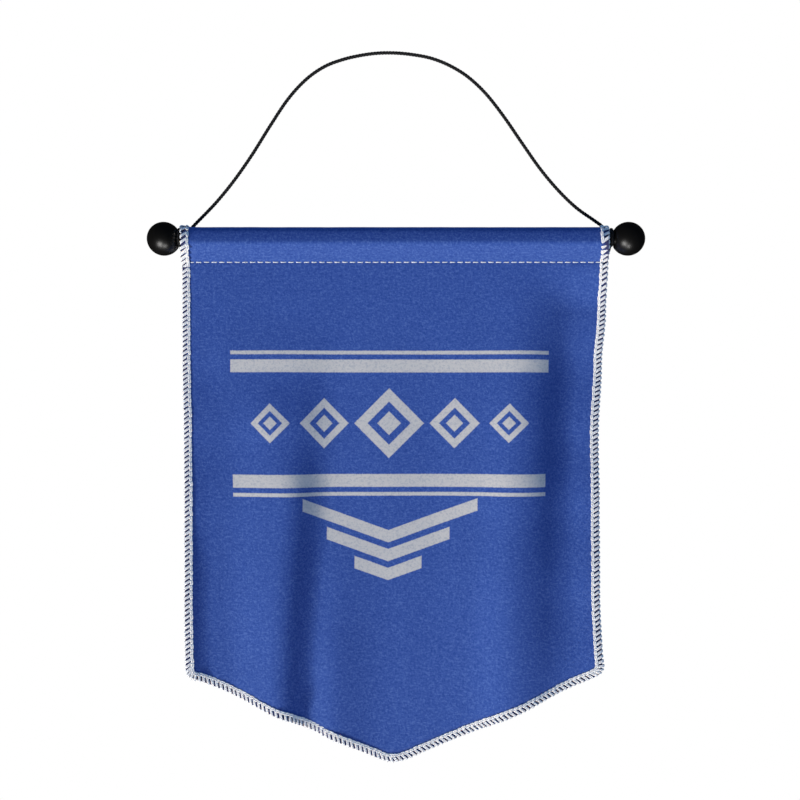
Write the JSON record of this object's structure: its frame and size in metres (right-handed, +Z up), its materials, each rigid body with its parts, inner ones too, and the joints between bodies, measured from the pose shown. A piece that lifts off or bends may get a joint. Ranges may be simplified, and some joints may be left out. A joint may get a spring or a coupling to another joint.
{
  "type": "felt banner on a rod",
  "caption": "Pointed felt banner with an overlocked edge, sleeved over a round rod with ball ends and hung by a thin cord.",
  "frame": {"origin": "the place on the underside of the hanging cord where a hook carries it, above the middle of the rod", "axes": "+Z up, front faces -Y, +X to the right seen from the front"},
  "size_m": [0.3548, 0.0318, 0.5081],
  "materials": {
    "felt": "matte wool felt with pale print",
    "edge_thread": "soft white overlock thread",
    "painted_wood": "black paint, satin gloss",
    "cord": "matte black twisted cord"
  },
  "bodies": {
    "root": {"felt_panel": "felt", "edging_left": "edge_thread", "edging_right": "edge_thread", "rod": "painted_wood", "ball_left": "painted_wood", "ball_right": "painted_wood", "hang_cord": "cord", "cord_knot_left": "cord", "cord_knot_right": "cord"}
  },
  "joints": []
}
